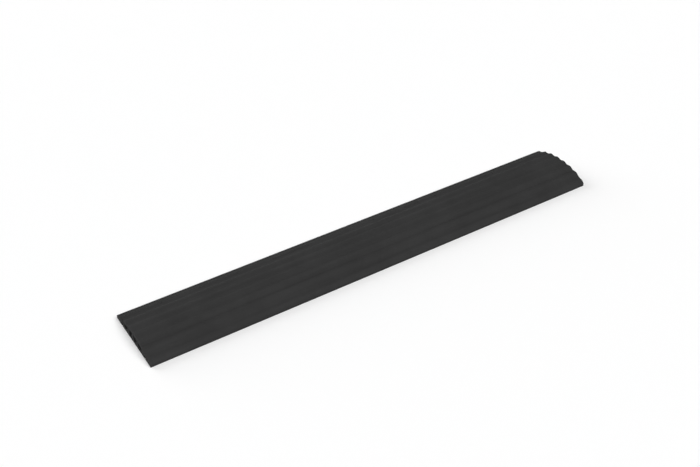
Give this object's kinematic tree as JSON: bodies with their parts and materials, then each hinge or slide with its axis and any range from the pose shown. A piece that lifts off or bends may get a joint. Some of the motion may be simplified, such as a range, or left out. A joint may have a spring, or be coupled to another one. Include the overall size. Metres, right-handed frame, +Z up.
{
  "type": "cable protector ramp",
  "caption": "Long low floor ramp of black ribbed rubber with an arched section; a hinged lid covers parallel cable channels so that feet and wheels can cross over cables.",
  "frame": {"origin": "centre of the footprint, on the floor", "axes": "+X along the ramp, +Y across it towards the hinge side, +Z up"},
  "size_m": [0.87, 0.13, 0.025],
  "materials": {
    "black_rubber": "matt moulded black rubber with a fine grain",
    "strip_rubber": "soft dull black grip rubber",
    "glass_fibre": "satin pultruded glass-fibre rod"
  },
  "bodies": {
    "base": {"base_ramp": "black_rubber", "hinge_rod": "glass_fibre", "hinge_plug_left": "black_rubber", "hinge_plug_right": "black_rubber", "grip_strip_front_outer": "strip_rubber", "grip_strip_front_inner": "strip_rubber", "grip_strip_rear_inner": "strip_rubber", "grip_strip_rear_outer": "strip_rubber"},
    "lid": {"hinged_lid": "black_rubber"}
  },
  "joints": [
    {"name": "lid_hinge", "type": "hinge", "parent": "base", "child": "lid", "pos_m": [0, 0.0414, 0.01393], "axis": [-1, 0, 0], "range_deg": [0, 105]}
  ]
}
